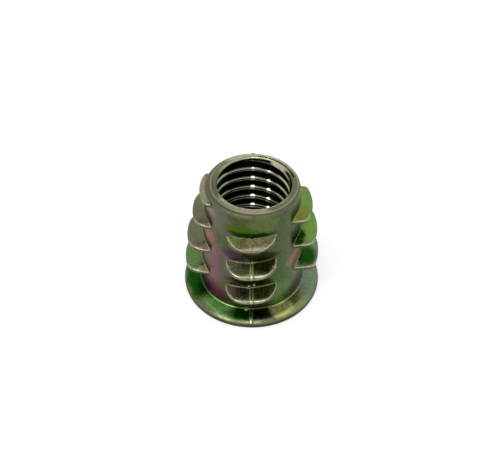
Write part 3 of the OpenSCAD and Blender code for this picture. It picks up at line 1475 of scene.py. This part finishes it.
    def lay_sheen(self, palette: Palette, surface: Surface, film: Film) -> None:
        """Brightens the hollow lines where one form runs into another, most of all at the sides.

        Args:
            palette: The material's nodes.
            surface: What is read from the part.
            film: The film so far, which is changed.
        """
        x, _, _ = palette.parts(surface.place)
        hollow = palette.ramp(surface.stand_out, self.hollow_span, (self.sheen, 0.0))
        beside = palette.ramp(
            palette.step("ABSOLUTE", x), self.hollow_beside_span, (self.hollow_ahead_share, 1.0)
        )
        film.colour = palette.mix(palette.times(hollow, film.bare, beside), film.colour, Tint.FILLET.rgba)

    def ring(self, palette: Palette, band: Band, place_mm: Socket) -> Socket:
        """Builds a band's share from the distance to the axis and the depth below the rim.

        Args:
            palette: The material's nodes.
            band: The band.
            place_mm: The place on the part.

        Returns:
            The share, from 0 to the band's own.
        """
        _, _, z = palette.parts(place_mm)
        level = palette.vector("SUBTRACT", place_mm, (*band.centre, 0))
        radius = palette.number("LENGTH", palette.vector("MULTIPLY", level, (1, 1, 0)))
        depth = palette.step("SUBTRACT", self.rim_z, z)
        share = band.share
        for value, (low, high) in ((radius, band.radius), (depth, band.depth)):
            inside = palette.ramp(value, (low - band.blend, low + band.blend))
            within = palette.ramp(value, (high - band.blend, high + band.blend), (1.0, 0.0))
            share = palette.times(share, palette.times(inside, within))
        return share

    def mask(self, palette: Palette, patch: Patch, place_mm: Socket) -> Socket:
        """Builds a patch's share, which fades towards its edge.

        Args:
            palette: The material's nodes.
            patch: The patch.
            place_mm: The place on the part.

        Returns:
            The share, from 0 to the patch's own.
        """
        turn = math.radians(patch.angle)
        centre = (patch.radius * math.cos(turn), patch.radius * math.sin(turn), patch.height)
        local = palette.nodes.new("ShaderNodeMapping")
        local.vector_type = "TEXTURE"
        local.inputs["Location"].default_value = centre
        local.inputs["Rotation"].default_value = (0, 0, turn)
        local.inputs["Scale"].default_value = patch.size
        palette.feed(local.inputs["Vector"], place_mm)
        distance = palette.number("LENGTH", local.outputs[0])
        return palette.ramp(distance, (1 - self.softness, 1 + self.softness), (patch.share, 0.0))


@dataclass(frozen=True)
class Lamp:
    """A round softbox, by its direction round the part, its elevation and how bright its face is."""

    name: str
    angle: float
    rise: float
    radiance: float


@dataclass
class Studio:
    """The pale floor, the soft surroundings and the camera. Lengths in millimetres, angles in degrees."""

    floor_size: float = 2000.0
    floor_colour: Colour = (0.6, 0.6, 0.6)
    floor_roughness: float = 0.9
    floor_glow: float = 0.45
    sky_strength: float = 1.0
    dark_level: float = 0.03
    dark_towards: tuple[float, float, float] = (0.0, 0.14, 0.99)
    dark_span: Span = (0.93, 0.972)
    lamp_distance: float = 250.0
    lamp_size: float = 65.0
    lamps: tuple[Lamp, ...] = (Lamp("key", 270, 62, 9.0), Lamp("fill", 221, 52, 9.0))
    focus: tuple[float, float, float] = (-0.2187, 0.0, 7.0)
    focus_rise: float = 0.4274
    distance: float = 100.0
    elevation: float = 45.27
    roll: float = 0.73
    focal_pixels: float = 1006.0
    image_width: int = 500
    sensor: float = 36.0

    def build(self) -> None:
        """Builds the floor, the surroundings, the lamps and the camera."""
        self.build_floor()
        self.build_surroundings()
        for lamp in self.lamps:
            self.build_lamp(lamp)
        self.build_camera()
        bpy.context.scene.view_settings.view_transform = "Standard"

    def build_floor(self) -> None:
        """Lays a plain pale floor under the part."""
        bpy.ops.object.select_all(action="DESELECT")
        bpy.ops.mesh.primitive_plane_add(size=self.floor_size * MM)
        floor = bpy.context.active_object
        floor.name = "floor"
        material = bpy.data.materials.new("pale_floor")
        material.use_nodes = True
        shader = material.node_tree.nodes["Principled BSDF"]
        shader.inputs["Base Color"].default_value = (*self.floor_colour, 1)
        shader.inputs["Roughness"].default_value = self.floor_roughness
        shader.inputs["Emission Color"].default_value = WHITE
        shader.inputs["Emission Strength"].default_value = self.floor_glow
        floor.data.materials.append(material)

    def build_surroundings(self) -> None:
        """Lights the part from a white room that is dark overhead."""
        world = bpy.data.worlds.new("white_room")
        bpy.context.scene.world = world
        world.use_nodes = True
        palette = Palette(world)
        direction = palette.nodes.new("ShaderNodeTexCoord").outputs["Generated"]
        overhead = palette.number("DOT_PRODUCT", direction, self.dark_towards)
        background = palette.nodes["Background"]
        background.inputs["Color"].default_value = WHITE
        strength = palette.ramp(overhead, self.dark_span, (self.sky_strength, self.dark_level))
        palette.feed(background.inputs["Strength"], strength)

    def build_lamp(self, softbox: Lamp) -> None:
        """Hangs one round softbox that faces the part.

        Args:
            softbox: The lamp's place and strength.
        """
        turn, lift = math.radians(softbox.angle), math.radians(softbox.rise)
        towards = Vector((math.cos(lift) * math.cos(turn), math.cos(lift) * math.sin(turn), math.sin(lift)))
        bpy.ops.object.light_add(type="AREA")
        lamp = bpy.context.active_object
        lamp.name = softbox.name
        lamp.data.shape = "DISK"
        lamp.data.size = self.lamp_size * MM
        face_area = math.pi * (lamp.data.size / 2) ** 2
        lamp.data.energy = softbox.radiance * math.pi * face_area
        lamp.location = towards * self.lamp_distance * MM
        lamp.rotation_euler = (-towards).to_track_quat("-Z", "Y").to_euler()

    def build_camera(self) -> None:
        """Sets the camera at the photograph's angle."""
        rise = math.radians(self.elevation)
        back = Vector((0, -math.cos(rise), math.sin(rise)))
        up = Vector((0, math.sin(rise), math.cos(rise)))
        focus = Vector(self.focus) + up * self.focus_rise
        data = bpy.data.cameras.new("camera")
        data.sensor_width = self.sensor
        data.lens = self.focal_pixels * self.sensor / self.image_width
        data.clip_start = MM
        data.clip_end = self.floor_size * MM * 2
        camera = bpy.data.objects.new("camera", data)
        bpy.context.scene.collection.objects.link(camera)
        camera.location = (focus + back * self.distance) * MM
        look = (-back).to_track_quat("-Z", "Y").to_matrix().to_4x4()
        turn = Matrix.Rotation(math.radians(self.roll), 4, "Z")
        camera.rotation_euler = (look @ turn).to_euler()
        bpy.context.scene.camera = camera


def bore_radius() -> float:
    """Radius of the bore that the thread is cut from, in millimetres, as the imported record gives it."""
    mounts = {mount["name"]: mount for mount in frame["record"]["mounts"]}
    return mounts[THREAD_MOUNT]["dims"]["r_mm"]


def main() -> None:
    """Builds the casting and its studio, and reports each piece."""
    logging.basicConfig(level=logging.INFO, format="%(name)s: %(message)s")
    low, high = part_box(NODE)
    bore_r = bore_radius()
    barrel = Barrel(length=(high.z - low.z) / MM, flange_d=(high.x - low.x) / MM)
    socket = DriveSocket(bore_r)
    casting = Casting(
        barrel=barrel,
        fins=FinSet(barrel),
        thread=BoltThread(bore_r, top=barrel.length, bottom=socket.cone_top),
        socket=socket,
        flash=PartingFlash(barrel),
    )
    piece = casting.build()
    piece.data.materials.clear()
    piece.data.materials.append(Chromate(rim_z=barrel.length).material())
    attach(piece, BODY)
    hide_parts(NODE)
    LOG.info("%s: %d faces", piece.name, len(piece.data.polygons))
    Studio().build()


if __name__ == "__main__":
    main()
